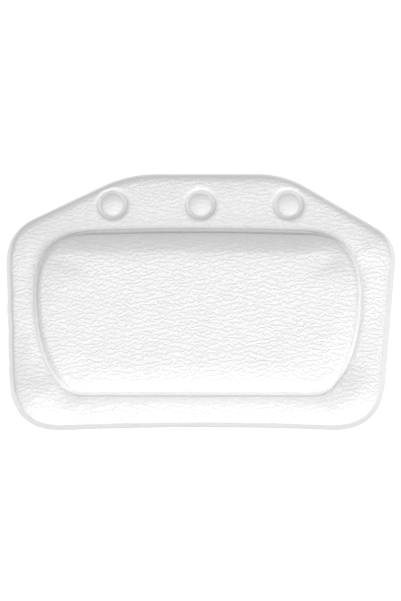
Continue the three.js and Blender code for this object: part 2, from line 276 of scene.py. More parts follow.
def beside(path, distance, every):
    """Every so many points of a path, moved outwards by a distance, or by one for each point."""
    return (path + outward(path) * np.reshape(distance, (-1, 1)))[::every]


def joined(loops, loose):
    """Triangles inside the first loop, with every loop's edges kept."""
    edges, start = [], 0
    for loop in loops:
        count = len(loop)
        edges += [(start + i, start + (i + 1) % count) for i in range(count)]
        start += count
    points = [Vector(p) for p in np.vstack([*loops, loose])]
    made = delaunay_2d_cdt(points, edges, [], INSIDE_ONLY, SAME_POINT)
    return np.array([tuple(p) for p in made[0]]), np.array(made[2])


print("a 10 mm pattern has", len(even_pattern(10)), "points")

# %% A flat sheet
ROW_STRETCH, FEWEST_SIDES, FREE_SHARE = 1.2, 6, 0.75
FINE_SPACING = 1.35
RIM_ROWS = [-0.3, 0.0, 0.12, 0.45, 1.0, 1.9, 3.1]
ON_SEAM_ROWS = [-1.4, -1, -0.5, 0, 0.5, 1, 1.4]
SEAM_ROWS = [0, 0.12, 0.4, 0.9, 1.7, 2.8]
DOME_SHARES = [0.07, 0.2, 0.33, 0.46, 0.59, 0.71, 0.82, 0.91, 0.97, 1]
RING_ROWS = [-1.1, 0, 0.15, 0.5, 1.1, 2, 3.2, 4.6]


def off_seam(side, rows):
    """Rows beside the seam's band as distances from its middle: outside for 1, inside for -1."""
    return [side * (SEAM_BAND / 2 + row) for row in rows]


def flat_sheet(spacing, rim_rows, seam_rows, circles):
    """A flat cut with rows of points along the rim's band and the seam, and circles at the domes."""
    row_spacing = ROW_STRETCH * spacing
    every = round(row_spacing / PATH_STEP)
    loops = [rim[::every]]
    loops += [beside(rim, -rim_band - row, every) for row in rim_rows]
    loops += [beside(seam, row, every) for row in seam_rows]
    for radius in circles:
        length = 2 * math.pi * max(radius, DOME_RADIUS / 2)
        ring = circle(radius, max(FEWEST_SIDES, round(length / row_spacing)))
        loops += [centre + ring for centre in CUP_CENTRES]
    grid = even_pattern(spacing)
    room = FREE_SHARE * spacing
    outside_rim, place = distance_outside(rim, grid)
    free = -outside_rim > rim_band[place] + max(rim_rows) + room
    free &= np.abs(distance_outside(seam, grid)[0]) > max(seam_rows) + room
    free &= distance_to_domes(grid) > max(circles) + room
    return joined(loops, grid[free])


across_seam = ON_SEAM_ROWS + off_seam(1, SEAM_ROWS) + off_seam(-1, SEAM_ROWS)
dome_circles = [DOME_RADIUS * share for share in DOME_SHARES]
dome_circles += [well_radius + row for row in RING_ROWS]
cover_flat, cover_triangles = flat_sheet(FINE_SPACING, RIM_ROWS, across_seam, dome_circles)
print("front sheet:", len(cover_flat), "points,", len(cover_triangles), "triangles")

# %% [markdown]
# ## The raised form
# Hot vinyl is drawn over the foam and pinched at the welds. Between two welds it stands up steeply,
# rounds over and runs nearly flat, which is a quarter of an ellipse. It could be sculpted by hand,
# but as a curve of the distance to the nearest weld, each panel needs only a rise and a width. The
# seam isn't pressed down to the back: both sheets are drawn to it. The welding tool sits a little
# low and to the right, so its edge leaves a score line inside the seam at the top and the left, and
# outside it at the bottom and the right.

# %% Distances to the welds beside each point
def measured(points):
    """Distances of points to the welds, and the ways that the rim and the seam face beside them."""
    outside_rim, rim_place = distance_outside(rim, points)
    outside_seam, seam_place = distance_outside(seam, points)
    from_dome = distance_to_domes(points)
    seam_way = outward(seam)[seam_place]
    gap = SimpleNamespace(
        from_rim=np.maximum(-outside_rim - rim_band[rim_place], 0),
        outside_seam=outside_seam,
        from_seam=np.maximum(outside_seam - SEAM_BAND / 2, 0),
        inside_seam=np.maximum(-outside_seam - SEAM_BAND / 2, 0),
        below_top=SEAM_TOP - SEAM_BAND / 2 - points[:, 1],
        from_ring=np.maximum(from_dome - well_radius, 0),
        inside_dome=np.maximum(DOME_RADIUS - from_dome, 0),
        margin=np.clip(1 + outside_rim / rim_band[rim_place], 0, 1),
        rim_place=rim_place, rim_way=outward(rim)[rim_place], seam_way=seam_way,
        up=np.maximum(seam_way[:, 1], 0), down=np.maximum(-seam_way[:, 1], 0))
    gap.in_flange = np.minimum(np.minimum(gap.from_rim, gap.from_seam), gap.from_ring)
    gap.room = gap.in_flange + gap.inside_seam + gap.inside_dome
    return gap


cover_gap = measured(cover_flat)
print("front sheet: up to", round(cover_gap.room.max(), 1), "mm from a weld")

# %% The seam's height
SHEET = 0.8
SEAM_LIFT, SEAM_LIFT_AT_TOP, SEAM_LIFT_AT_BOTTOM = 3.8, 1.2, 2.0
SCORE_DEPTH, SCORE_DEPTH_AT_TOP, SCORE_WIDTH, SCORE_FADE = 1.2, 1.5, 1.2, 0.3
TOOL_SHIFT = (0.65, -0.76)
weld_height = SHEET + WELD_GAP


def seam_lift(gap):
    up, down = gap.up**2, gap.down**2
    return SEAM_LIFT_AT_TOP * up + SEAM_LIFT_AT_BOTTOM * down + SEAM_LIFT * (1 - up - down)


def upper_corner(gap):
    """1 where the seam turns its upper corners, 0 along its top and its sides."""
    return (2 * gap.seam_way[:, 0] * gap.up) ** 2


def score(gap):
    """The line that the tool's edge presses into both sheets, on the side to which it is shifted."""
    off_centre = gap.seam_way @ np.array(TOOL_SHIFT)
    depth = blend(SCORE_DEPTH, SCORE_DEPTH_AT_TOP, gap.up**2)
    depth *= smooth_step(0, SCORE_FADE, np.abs(off_centre)) * (1 - upper_corner(gap))
    place = np.sign(off_centre) * SEAM_BAND / 2
    return depth * np.exp(-((gap.outside_seam - place) / SCORE_WIDTH) ** 2)


print("score line: up to", round(score(cover_gap).max(), 2), "mm deep")

# %% The flange's height
FLANGE_EDGE, FLANGE_EDGE_WIDTH, FLANGE_EDGE_WIDTH_AT_TOP = 4.6, 2.0, 7.0
FLANGE_CREST, FLANGE_CREST_AT_TOP, CREST_PLACE = 6.8, 6.4, 0.75
FLANGE_WIDTH, CREST_PER_WIDTH = 20.0, 0.4
SEAM_STEP, SEAM_STEP_AT_TOP, SEAM_STEP_LIMIT, SEAM_STEP_POWER = 5.5, 5.0, 22.0, 5
RING_DEPTH, WELL_FLARE = 5.0, 3.4
CURL_BOTTOM, CURL_SIDE = 2.0, 0.4
NEARLY_ZERO = 1e-9


def rounded(share, power=2.0):
    return (1 - (1 - np.clip(share, 0, 1)) ** power) ** (1 / power)


def flange_height(gap):
    """The padded flange, with the welds of the rim, of the seam and of the rings pressed into it."""
    width = np.maximum(gap.from_rim + gap.from_seam, NEARLY_ZERO)
    wider = np.maximum(width / FLANGE_WIDTH, 1)
    to_crest = np.clip(1 - gap.from_rim * np.sqrt(wider) / (CREST_PLACE * width), 0, 1)
    edge_up = np.maximum(gap.rim_way[:, 1], 0) ** 2
    edge_width = blend(FLANGE_EDGE_WIDTH, FLANGE_EDGE_WIDTH_AT_TOP, edge_up)
    crest = FLANGE_CREST + CREST_PER_WIDTH * FLANGE_WIDTH * (wider - 1)
    crest = blend(crest, FLANGE_CREST_AT_TOP, gap.up)
    flange = FLANGE_EDGE * rounded(gap.from_rim / edge_width)
    flange += (crest - FLANGE_EDGE) * (1 - to_crest**2)
    step = np.minimum(SEAM_STEP * wider**SEAM_STEP_POWER, SEAM_STEP_LIMIT)
    step = blend(step, SEAM_STEP_AT_TOP, gap.up)
    flange = blend(seam_lift(gap), flange, rounded(gap.from_seam / step))
    pressed = RING_DEPTH * (1 - rounded(gap.from_ring / WELL_FLARE))
    return np.maximum(flange - pressed, 0)


def curl(gap):
    """The trimmed margin bends forward a little, most of all along the bottom."""
    bend = CURL_BOTTOM * np.maximum(-gap.rim_way[:, 1], 0) + CURL_SIDE * np.abs(gap.rim_way[:, 0])
    return bend * gap.margin


print("flange: up to", round(flange_height(cover_gap).max(), 2), "mm over its welds")

# %% The cushion's height and the whole front
CUSHION_RISE, DOME_RISE = 24.0, 4.8
CROWN_FALL_SIDE, CROWN_FALL_BOTTOM, CROWN_REACH = 3.0, 2.0, 22.0
CORNER_FALL, CORNER_REACH = 4.5, 45.0
SHOULDER_TOP, SHOULDER_BOTTOM, SHOULDER_SIDE = 21.0, 7.0, 4.0
SHOULDER_POWER, SIDE_POWER = 1.6, 2.4


def falling(distance, reach):
    """1 at a weld, and less and less until it runs out at the reach."""
    return (1 - np.clip(distance / reach, 0, 1)) ** 2


def cushion_height(gap):
    """The crowned cushion: a long slope along its top, short walls at its sides and its bottom."""
    up, down = gap.up**2, gap.down**2
    crown_fall = CROWN_FALL_SIDE * (1 - up - down) + CROWN_FALL_BOTTOM * down
    rise = CUSHION_RISE - crown_fall * falling(gap.inside_seam, CROWN_REACH)
    rise -= CORNER_FALL * upper_corner(gap) * falling(gap.inside_seam, CORNER_REACH)
    rise -= seam_lift(gap) + weld_height
    wall = blend(SHOULDER_SIDE, SHOULDER_BOTTOM, down)
    slope = rounded(np.maximum(gap.inside_seam, gap.below_top) / SHOULDER_TOP, SHOULDER_POWER)
    return rise * slope * rounded(gap.inside_seam / wall, SIDE_POWER) ** (1 - up)


def front_height(points):
    """The front sheet's outer face, over the plane of the back sheet's inner face."""
    gap = measured(points)
    dome = DOME_RISE * rounded(gap.inside_dome / DOME_RADIUS)
    return weld_height + flange_height(gap) + cushion_height(gap) + dome + curl(gap) - score(gap)


cover_height = front_height(cover_flat)
print("front sheet stands", round(cover_height.max(), 2), "mm in front of the back sheet")

# %% [markdown]
# ## Swelling
# A formed sheet still looks cut from a block. Foam pushes back from inside, so a coarse closed copy
# is blown up a little as cloth with its welds pinned, and the fine sheet takes over the movement.
# Simulating the fine sheet itself would take minutes and gain nothing: the swelling has no detail.

# %% A closed pad
def mesh_object(name, points, faces):
    mesh = bpy.data.meshes.new(name)
    mesh.from_pydata((np.asarray(points) * MM).tolist(), [], np.asarray(faces).tolist())
    made = bpy.data.objects.new(name, mesh)
    bpy.context.scene.collection.objects.link(made)
    return made


def placed(flat, height):
    return np.stack([flat[:, 0], WELD_PLANE - height, flat[:, 1]], axis=1)


def edges_of(triangles):
    return np.vstack([triangles[:, [0, 1]], triangles[:, [1, 2]], triangles[:, [2, 0]]])


def closed_pad(flat, triangles, front, back):
    """A front and a back of the same triangles, with walls along their borders."""
    count = len(flat)
    edges = list(map(tuple, edges_of(triangles).tolist()))
    known = set(edges)
    a, b = np.array([edge for edge in edges if edge[::-1] not in known]).T
    walls = np.vstack([np.stack([b, a, a + count], 1), np.stack([b, a + count, b + count], 1)])
    points = np.vstack([placed(flat, front), placed(flat, back)])
    return points, np.vstack([triangles, triangles[:, ::-1] + count, walls])


COARSE_SPACING, COARSE_ROWS, COARSE_CENTRE = 5.0, [0, 4], 0.1
coarse_seam = off_seam(-1, COARSE_ROWS) + off_seam(1, COARSE_ROWS)
coarse_circles = [COARSE_CENTRE, DOME_RADIUS / 2, DOME_RADIUS]
coarse_circles += [well_radius + row for row in COARSE_ROWS]
coarse_flat, coarse_triangles = flat_sheet(COARSE_SPACING, COARSE_ROWS, coarse_seam, coarse_circles)
print("coarse copy:", len(coarse_flat), "points")

# %% The coarse copy swells
SWELL_LIMIT = 1.0
SWELL_FRAMES = 20
ON_WELD = 0.05


def as_cloth(pad, held):
    """Cloth under pressure that stays where it is at the points that are held."""
    group = pad.vertex_groups.new(name="held")
    group.add(held, 1.0, "REPLACE")
    cloth = pad.modifiers.new("swell", "CLOTH")
    cloth.settings.quality = 6
    cloth.settings.mass = 0.3
    cloth.settings.tension_stiffness = 15
    cloth.settings.compression_stiffness = 15
    cloth.settings.bending_stiffness = 2
    cloth.settings.use_pressure = True
    cloth.settings.uniform_pressure_force = 4
    cloth.settings.vertex_group_mass = group.name
    cloth.settings.effector_weights.gravity = 0
    cloth.point_cache.frame_start = 1
    cloth.point_cache.frame_end = SWELL_FRAMES


def swell(flat, triangles):
    """How far each point of a coarse sheet moves when its panels are blown up."""
    count = len(flat)
    points, faces = closed_pad(flat, triangles, front_height(flat), np.zeros(count))
    copy = mesh_object("swelling_copy", points, faces)
    welded = (measured(flat).room < ON_WELD) | (distance_to_domes(flat) < well_radius)
    as_cloth(copy, np.flatnonzero(welded).tolist() + list(range(count, 2 * count)))
    for frame_number in range(1, SWELL_FRAMES + 1):
        bpy.context.scene.frame_set(frame_number)
    swollen = copy.evaluated_get(bpy.context.evaluated_depsgraph_get()).data
    moved = np.array([tuple(v.co) for v in swollen.vertices])[:count] / MM - points[:count]
    bpy.context.scene.frame_set(1)
    bpy.data.objects.remove(copy)
    size = np.maximum(np.linalg.norm(moved, axis=1, keepdims=True), NEARLY_ZERO)
    print("swelling: up to", round(size.max(), 2), "mm before its limit")
    return moved * SWELL_LIMIT * np.tanh(size / SWELL_LIMIT) / size


coarse_move = np.zeros((len(coarse_flat), 3))
coarse_move = swell(coarse_flat, coarse_triangles)

# %% The movement is taken over
EVENING_ROUNDS = 24
coarse_tree = BVHTree.FromPolygons(
    [(x, z, 0) for x, z in coarse_flat], coarse_triangles.tolist())


def swelling_at(flat):
    moves = []
    for x, z in flat:
        place, _, index, _ = coarse_tree.find_nearest((x, z, 0))
        corners = coarse_triangles[index]
        here = [Vector((*coarse_flat[c], 0)) for c in corners]
        there = [Vector(coarse_move[c]) for c in corners]
        moves.append(barycentric_transform(place, *here, *there))
    return np.array([tuple(move) for move in moves])


def evened(values, triangles, held):
    """Values averaged with their neighbours' several times, except where they are held."""
    edges = np.unique(np.sort(edges_of(triangles), axis=1), axis=0)
    count = np.bincount(edges.ravel(), minlength=len(values))[:, None]
    for _ in range(EVENING_ROUNDS):
        total = np.zeros_like(values)
        np.add.at(total, edges[:, 0], values[edges[:, 1]])
        np.add.at(total, edges[:, 1], values[edges[:, 0]])
        values = np.where(held[:, None], values, (values + total / count) / 2)
    return values


cover_move = evened(swelling_at(cover_flat), cover_triangles, cover_gap.room < ON_WELD)
print("front sheet moves up to", round(np.linalg.norm(cover_move, axis=1).max(), 2), "mm")

# %% [markdown]
# ## Unevenness
# Foam is never quite even, and vinyl that is pinched round a bend puckers beside the weld. Both are
# far too shallow to see as shapes, but a perfectly even surface would look like a rendering. They
# could be sculpted; here they are small moves of the points, from noise that is the same at each run.

# %% Uneven foam and puckers
LUMP_LENGTH, LUMP_HEIGHT, LUMP_START, LUMP_NOISE = 26.0, 0.35, 6.0, 2.0
PUCKER_LENGTH, PUCKER_HEIGHT, PUCKER_START, PUCKER_REACH = 7.0, 0.22, 1.5, 6.0
PUCKER_NOISE = (5.0, 1.0)


def unevenness(flat):
    gap = measured(flat)
    lumps = np.array([noise.noise((x / LUMP_LENGTH, z / LUMP_LENGTH, LUMP_NOISE)) for x, z in flat])
    along = gap.rim_place * PATH_STEP / PUCKER_LENGTH
    puckers = np.array([noise.noise((place, *PUCKER_NOISE)) for place in along])
    near_weld = smooth_step(0, PUCKER_START, gap.room) * np.exp(-gap.room / PUCKER_REACH)
    uneven = LUMP_HEIGHT * lumps * smooth_step(0, LUMP_START, gap.room)
    uneven += PUCKER_HEIGHT * puckers * near_weld
    return np.where(gap.inside_dome > 0, 0, uneven)


cover_points = placed(cover_flat, cover_height + unevenness(cover_flat)) + cover_move
front_cover = mesh_object("front_sheet", cover_points, cover_triangles)
print("front sheet made:", len(front_cover.data.polygons), "faces on its front")

# %% [markdown]
# ## Grain mask and thickness
# The welding tool irons the grain flat and melts the sheets together, so the material has to know
# where the bands are. A painted picture would need a UV map; a number on each point doesn't. One says
# how much grain is left, another how much greyer the colour is: on the welds, and as painted shade
# along the seam's top and over the domes. Solidify then gives the sheet its real thickness, inwards.

# %% Mask
GRAIN_FADE, DOME_GRAIN = (0.2, 1.8), 0.5
BAND_FADE, RING_FADE = (-0.1, 0.5), (-0.1, 1.2)
SEAM_WELD, SEAM_WELD_AND_SHADE_AT_TOP, DOME_PAINTED_SHADE, CORNER_SHADE_FADE = 0.45, 1.0, 0.35, 0.8


def mark(piece, name, values):
    attribute = piece.data.attributes.new(name, "FLOAT", "POINT")
    attribute.data.foreach_set("value", np.asarray(values, np.float32))


on_dome = cover_gap.inside_dome > 0
grain_left = smooth_step(*GRAIN_FADE, cover_gap.room) * np.where(on_dome, DOME_GRAIN, 1)
rim_weld = 1 - smooth_step(*BAND_FADE, cover_gap.from_rim)
seam_weld_and_shade = 1 - smooth_step(*BAND_FADE, cover_gap.from_seam + cover_gap.inside_seam)
# Along the seam's top the grey is at full strength. Beyond the weld's own grey at the sides, this is
# painted shade: the cushion's shadow on the band. It is weaker at the upper corners.
seam_weld_and_shade *= blend(SEAM_WELD, SEAM_WELD_AND_SHADE_AT_TOP, cover_gap.up**2)
seam_weld_and_shade *= 1 - CORNER_SHADE_FADE * upper_corner(cover_gap)
ring_weld_and_dome_shade = 1 - smooth_step(*RING_FADE, cover_gap.from_ring + cover_gap.inside_dome)
# The dome inside each ring isn't welded; its grey is painted shade.
ring_weld_and_dome_shade = np.maximum(ring_weld_and_dome_shade, DOME_PAINTED_SHADE * on_dome)
mark(front_cover, "grain", grain_left)
mark(front_cover, "weld", np.maximum(np.maximum(rim_weld, ring_weld_and_dome_shade), seam_weld_and_shade))
print("grain on", round(100 * float((grain_left > 0).mean())), "% of the front sheet's points")

# %% Thickness
SHEET_SMOOTH_ANGLE = 60


def select_only(piece):
    bpy.ops.object.select_all(action="DESELECT")
    piece.select_set(True)
    bpy.context.view_layer.objects.active = piece


def thicken(piece):
    wall = piece.modifiers.new("thickness", "SOLIDIFY")
    wall.thickness = SHEET * MM
    wall.offset = -1
    select_only(piece)
    bpy.ops.object.modifier_apply(modifier=wall.name)
    bpy.ops.object.shade_smooth_by_angle(angle=math.radians(SHEET_SMOOTH_ANGLE))


thicken(front_cover)
print("front sheet:", sum(len(p.vertices) - 2 for p in front_cover.data.polygons), "triangles")

# %% [markdown]
# ## Back sheet
# The back is plain vinyl. It is drawn forward to the seam and to the rings, and the foam presses it
# out a little between the welds. It has a hole for each cup's neck. It is made as the front sheet
# is, so that both meet at the welds, but with fewer points, because its form is plainer.

# %% Back sheet
BACK_SPACING = 2.6
BACK_RIM_ROWS, BACK_SEAM_ROWS = [-0.3, 0, 0.5, 1.6], [0, 0.5, 1.6, 3.2]
BACK_BULGE_FLANGE, BACK_BULGE_CUSHION, BACK_SHOULDER = 1.0, 2.2, 9.0
BACK_UNEVEN = 0.4
BACK_FADE = (-0.1, 0.8)
SEAM_REACH, RING_REACH = 6.0, 2.6
NECK_HOLE, HOLE_SHARE = 4.3, 0.97
BACK_CIRCLES = [
    NECK_HOLE, NECK_HOLE + 1, 7.5, DOME_RADIUS, well_radius, well_radius + 1, well_radius + 3]


def back_height(points):
    """The back sheet's inner face: drawn forward to the welds, and pressed out between them."""
    gap = measured(points)
    at_seam = 1 - smooth_step(0, SEAM_REACH, gap.from_seam + gap.inside_seam)
    at_ring = 1 - smooth_step(0, RING_REACH, gap.from_ring + gap.inside_dome)
    drawn = np.maximum(seam_lift(gap) * at_seam, flange_height(gap) * at_ring)
    bulge = BACK_BULGE_CUSHION * rounded(gap.inside_seam / BACK_SHOULDER)
    bulge += BACK_BULGE_FLANGE * rounded(gap.in_flange / BACK_SHOULDER)
    return drawn - bulge + curl(gap) - score(gap)


back_seam = off_seam(-1, BACK_SEAM_ROWS) + off_seam(1, BACK_SEAM_ROWS) + [0]
back_flat, back_triangles = flat_sheet(BACK_SPACING, BACK_RIM_ROWS, back_seam, BACK_CIRCLES)
triangle_middles = back_flat[back_triangles].mean(1)
back_triangles = back_triangles[distance_to_domes(triangle_middles) > HOLE_SHARE * NECK_HOLE]
back_place = back_height(back_flat) - BACK_UNEVEN * unevenness(back_flat) - SHEET
back_sheet = mesh_object("back_sheet", placed(back_flat, back_place), back_triangles[:, ::-1])
mark(back_sheet, "weld", 1 - smooth_step(*BACK_FADE, measured(back_flat).room))
thicken(back_sheet)
print("back sheet:", len(back_sheet.data.polygons), "faces")

# %% [markdown]
# ## Foam
# The cushion and the flange are filled with blocks of soft foam that the sheets squeeze to shape. They
# don't show, but plain boxes would poke through the sheets or leave them half empty. So each block
# follows the front sheet a little way behind it.

# %% Foam blocks
FOAM_SPACING, FOAM_FREE_SHARE, FOAM_RING_SIDES = 3.5, 0.7, 32
FOAM_EDGE, FOAM_GAP, FOAM_BACK = 1.2, 1.6, 0.3


def foam_block(name, loops, room_in):
    grid = even_pattern(FOAM_SPACING)
    flat, triangles = joined(loops, grid[room_in(grid) > FOAM_FREE_SHARE * FOAM_SPACING])
    triangles = triangles[room_in(flat[triangles].mean(1)) > 0]
    back = back_height(flat) + FOAM_BACK
    front = front_height(flat) - swelling_at(flat)[:, 1] - FOAM_GAP
    points, faces = closed_pad(flat, triangles, np.maximum(front, back + FOAM_BACK), back)
    block = mesh_object(name, points, faces)
    block.data.shade_smooth()
    print(name, len(faces), "faces")
    return block


def room_in_cushion(points):
    return -distance_outside(seam, points)[0] - SEAM_BAND / 2 - FOAM_EDGE


def room_in_flange(points):
    outside_rim, place = distance_outside(rim, points)
    from_seam = distance_outside(seam, points)[0] - SEAM_BAND / 2
    from_ring = distance_to_domes(points) - well_radius
    return np.minimum(np.minimum(-outside_rim - rim_band[place], from_seam), from_ring) - FOAM_EDGE


every = round(FOAM_SPACING / PATH_STEP)
seam_in = beside(seam, -SEAM_BAND / 2 - FOAM_EDGE, every)
seam_out = beside(seam, SEAM_BAND / 2 + FOAM_EDGE, every)
rim_in = beside(rim, -rim_band - FOAM_EDGE, every)
ring = circle(well_radius + FOAM_EDGE, FOAM_RING_SIDES)
cushion_foam = foam_block("cushion_foam", [seam_in], room_in_cushion)
flange_foam = foam_block(
    "flange_foam", [rim_in, seam_out, *(centre + ring for centre in CUP_CENTRES)], room_in_flange)

# %% [markdown]
# ## Turned pieces
# Cups, washers and the pads under the domes are round, so each is a profile turned about its axis. A
# Screw modifier could do it; here one vertex is extruded along the profile and spun, as on a lathe,
# which leaves a plain mesh. The middle one is modelled and the three pieces are copies of it.

# %% A lathe
TURN_STEPS, TURNED_SMOOTH_ANGLE, JOIN_DISTANCE = 72, 40, 0.001


def turned(name, profile):
    """A piece about the middle cup's axis, from (radius, height) pairs that run from front to back."""
    places = [Vector((radius, WELD_PLANE - height, 0)) * MM for radius, height in profile]
    bpy.ops.object.select_all(action="DESELECT")
    bpy.ops.mesh.primitive_plane_add(size=MM)
    piece = bpy.context.object
    piece.name = piece.data.name = name
    bpy.ops.object.mode_set(mode="EDIT")
    bpy.ops.mesh.merge(type="CENTER")
    bpy.ops.transform.translate(value=places[0])
    for before, after in zip(places, places[1:]):
        bpy.ops.mesh.extrude_vertices_move(TRANSFORM_OT_translate={"value": after - before})
    bpy.ops.mesh.select_all(action="SELECT")
    bpy.ops.mesh.spin(steps=TURN_STEPS, angle=2 * math.pi, center=(0, 0, 0), axis=(0, 1, 0))
    bpy.ops.mesh.select_all(action="SELECT")
    bpy.ops.mesh.remove_doubles(threshold=JOIN_DISTANCE * MM)
    bpy.ops.mesh.normals_make_consistent(inside=False)
    bpy.ops.object.mode_set(mode="OBJECT")
    bpy.ops.object.shade_smooth_by_angle(angle=math.radians(TURNED_SMOOTH_ANGLE))
    return piece


def three_of(piece, name):
    """The piece at each cup, in the order of SIDES."""
    pieces = []
    for side, centre in zip(SIDES, CUP_CENTRES):
        copy = piece.copy()
        copy.data = piece.data.copy()
        copy.name = copy.data.name = f"{name}_{side}"
        bpy.context.scene.collection.objects.link(copy)
        select_only(copy)
        bpy.ops.transform.translate(value=(centre[0] * MM, 0, 0))
        bpy.ops.object.transform_apply(location=True, rotation=False, scale=False)
        pieces.append(copy)
    bpy.data.objects.remove(piece)
    print(name, len(pieces), "pieces of", len(pieces[0].data.polygons), "faces")
    return pieces


print("lathe:", TURN_STEPS, "steps round")

# %% [markdown]
# ## Suction cups
# A cup is one soft clear moulding. Its mushroom head is pushed through the hole in the back sheet
# and can't come out, a collar keeps the bell off the sheet, and the bell thins to a supple lip. Its
# edges are rounded in the profile; a Bevel modifier would have to find them on the turned mesh.

# %% Suction cups
FILLET, FILLET_STEPS, HEAD_STEPS, BELL_STEPS = 0.35, 4, 10, 16
CUP_RADIUS, NECK_RADIUS, COLLAR_RADIUS, HEAD_RADIUS = 17.5, 4.0, 6.0, 6.5
HEAD_FRONT, HEAD_EDGE, HEAD_BACK = 4.2, 2.8, 1.6
COLLAR_FRONT, COLLAR_BACK = -1.1, -2.7
HOLLOW_FRONT, LIP_FRONT, LIP_BACK, LIP_FLAT = -6.2, -10.0, -10.8, 1.7
BELL_HANDLE = (10.05, -7.0)


def filleted(corners):
    """Roundings of a profile's corners, without its two ends."""
    around = zip(corners, corners[1:], corners[2:])
    return np.vstack([rounding(*three, FILLET, FILLET_STEPS) for three in around])


head_edge, collar_edge = (HEAD_RADIUS, HEAD_EDGE), (COLLAR_RADIUS, COLLAR_BACK)
lip_front, lip_back = (CUP_RADIUS, LIP_FRONT), (CUP_RADIUS - LIP_FLAT, LIP_BACK)
cup_profile = [
    *bent((0, HEAD_FRONT), (HEAD_RADIUS, HEAD_FRONT), head_edge, HEAD_STEPS),
    *filleted([
        head_edge, (HEAD_RADIUS, HEAD_BACK), (NECK_RADIUS, HEAD_BACK),
        (NECK_RADIUS, COLLAR_FRONT), (COLLAR_RADIUS, COLLAR_FRONT), collar_edge]),
    *bent(collar_edge, BELL_HANDLE, lip_front, BELL_STEPS),
    *filleted([lip_front, (CUP_RADIUS, LIP_BACK), lip_back]),
    *bent(lip_back, (CUP_RADIUS / 2, HOLLOW_FRONT), (0, HOLLOW_FRONT), BELL_STEPS),
]
cups = three_of(turned("suction_cup", cup_profile), "clear_cup")

# %% [markdown]
# ## Washers and dome pads
# Inside each ring weld a washer keeps the cup's head from pulling through the thin back sheet, and a
# button of foam over the head fills the dome. Both are hidden, so their profiles are simple.

# %% Washers and dome pads
WASHER_RADIUS, WASHER_FRONT = 8.0, 1.3
PAD_RADIUS, PAD_BACK, PAD_FRONT, PAD_EDGE = 5.6, 4.4, 5.4, 0.6
PAD_FULLNESS, PAD_STEPS = 0.75, 12
washer_corners = [
    (NECK_HOLE, WELD_GAP), (NECK_HOLE, WASHER_FRONT),
    (WASHER_RADIUS, WASHER_FRONT), (WASHER_RADIUS, WELD_GAP)]
washer_profile = [
    washer_corners[0], *filleted(washer_corners), washer_corners[-1], washer_corners[0]]
pad_side, pad_foot = (PAD_RADIUS, PAD_BACK + PAD_EDGE), (PAD_RADIUS - PAD_EDGE, PAD_BACK)
pad_profile = [
    *bent((0, PAD_FRONT), (PAD_FULLNESS * PAD_RADIUS, PAD_FRONT), pad_side, PAD_STEPS),
    *bent(pad_side, (PAD_RADIUS, PAD_BACK), pad_foot, FILLET_STEPS),
    (0, PAD_BACK),
]
washers = three_of(turned("washer", washer_profile), "washer")
dome_pads = three_of(turned("dome_foam", pad_profile), "dome_foam")

# %% [markdown]
# ## Materials
# Every finish is made of nodes. Colours are written as the hex numbers of a colour picker, and one
# function turns them into the linear light that shaders work in. Another adds a node with its
# settings and its links, so each material reads as a list.

# %% Helpers for materials
VINYL_IOR = 1.53


def linear(hex_colour):
    channels = [int(hex_colour[i:i + 2], 16) / 255 for i in (1, 3, 5)]
    return (*(c / 12.92 if c <= 0.04045 else ((c + 0.055) / 1.055) ** 2.4 for c in channels), 1.0)


def new_material(name):
    material = bpy.data.materials.new(name)
    material.use_nodes = True
    material.node_tree.nodes.clear()
    return material


def add_node(owner, kind, inputs=None, **settings):
    node = owner.node_tree.nodes.new(kind)
    for name, value in settings.items():
        setattr(node, name, value)
    for socket, value in (inputs or {}).items():
        if isinstance(value, bpy.types.NodeSocket):
            owner.node_tree.links.new(value, node.inputs[socket])
        else:
            node.inputs[socket].default_value = value
    return node


def mixed_colour(material, factor, first, second):
    return add_node(material, "ShaderNodeMix", {
        "Factor": factor, "A": first, "B": second}, data_type="RGBA").outputs["Result"]


def bumped(material, height, depth, invert=False):
    return add_node(material, "ShaderNodeBump", {
        "Height": height, "Strength": 1.0, "Distance": depth * MM}, invert=invert).outputs["Normal"]


def dress(pieces, material, inputs):
    """Gives the material a surface with these inputs, and the pieces the material."""
    shader = add_node(material, "ShaderNodeBsdfPrincipled", inputs)
    add_node(material, "ShaderNodeOutputMaterial", {"Surface": shader.outputs["BSDF"]})
    for piece in pieces:
        piece.data.materials.clear()
        piece.data.materials.append(material)
    print(material.name, "of", len(material.node_tree.nodes), "nodes on", len(pieces), "pieces")


print("a picker's middle grey is", round(linear("#808080")[0], 3), "in linear light")

# %% [markdown]
# ## Embossed vinyl
# White plasticised PVC, calendered and pressed with a crepe grain: short wavy strokes across the
# sheet, about 4 mm apart. Real furrows would take millions of faces, so they are bump. Two sets of
# wavy lines lean a little to either side, and patches of noise choose between them, which breaks the
# lines into strokes. A wave texture of scale 1 repeats after a tenth of pi, so the coordinates are
# scaled to bring that to the furrows' spacing. The vinyl has a low satin gloss. On the welds the
# grain is ironed out and the colour is a greyer white. Along the seam's top and over the domes that
# grey is painted shade.

# %% Grain
FURROW_SPACING, FURROW_DEPTH, FURROW_LEAN = 4.2, 0.38, 8.0
WAVER_LENGTH, PATCH_SIZE = 9.0, 6.0
WAVE_PERIOD = math.pi / 10
vinyl = new_material("white_pvc_crepe_embossed")
coordinates = add_node(vinyl, "ShaderNodeTexCoord")


def wavy_lines(lean):
    spread = add_node(vinyl, "ShaderNodeMapping", {
        "Vector": coordinates.outputs["Object"], "Rotation": (0, math.radians(lean), 0),
        "Scale": (1 / (WAVER_LENGTH * MM), 0, WAVE_PERIOD / (FURROW_SPACING * MM))})
    lines = add_node(vinyl, "ShaderNodeTexWave", {
        "Vector": spread.outputs["Vector"], "Scale": 1.0, "Distortion": 9.0,
        "Detail": 3.0, "Detail Scale": 2.2, "Detail Roughness": 0.75}, bands_direction="Z")
    return lines.outputs["Fac"]


